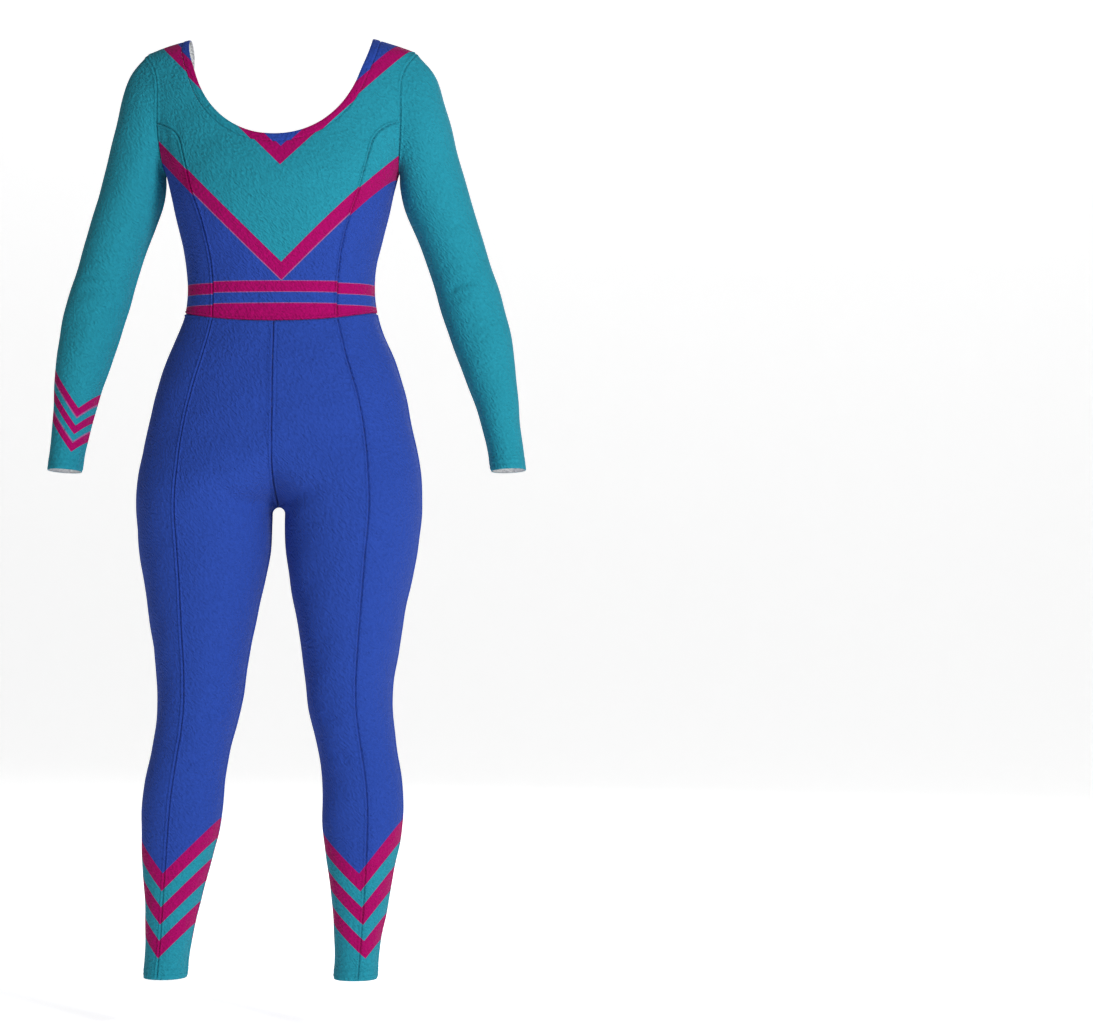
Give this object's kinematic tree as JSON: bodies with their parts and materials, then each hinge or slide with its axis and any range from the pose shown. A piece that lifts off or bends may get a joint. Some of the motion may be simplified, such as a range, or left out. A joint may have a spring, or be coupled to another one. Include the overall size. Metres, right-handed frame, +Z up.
{
  "type": "long-sleeved dance bodysuit",
  "caption": "Full-leg stretch dance bodysuit with long sleeves and a scooped neck, hollow and filled out as it is worn.",
  "frame": {"origin": "midway between the shoulders, level with the inner ends of the straps, where the wearer's shoulders hold the suit", "axes": "+Z up along the body, -Y to the front, +X to the wearer's left"},
  "size_m": [0.688, 0.2313, 1.3401],
  "materials": {
    "front_centre": "matte",
    "front_side_left": "matte",
    "front_side_right": "matte",
    "back_left": "matte",
    "back_right": "matte",
    "neck_band": "matte",
    "sleeve_left": "matte",
    "sleeve_right": "matte",
    "leg_front_left": "matte",
    "leg_front_right": "matte",
    "leg_side_left": "matte",
    "leg_side_right": "matte",
    "leg_back_left": "matte",
    "leg_back_right": "matte"
  },
  "bodies": {
    "root": {"front_centre": "front_centre", "front_side_left": "front_side_left", "front_side_right": "front_side_right", "back_left": "back_left", "back_right": "back_right", "neck_band": "neck_band", "sleeve_left": "sleeve_left", "sleeve_right": "sleeve_right", "leg_front_left": "leg_front_left", "leg_front_right": "leg_front_right", "leg_side_left": "leg_side_left", "leg_side_right": "leg_side_right", "leg_back_left": "leg_back_left", "leg_back_right": "leg_back_right"}
  },
  "joints": []
}
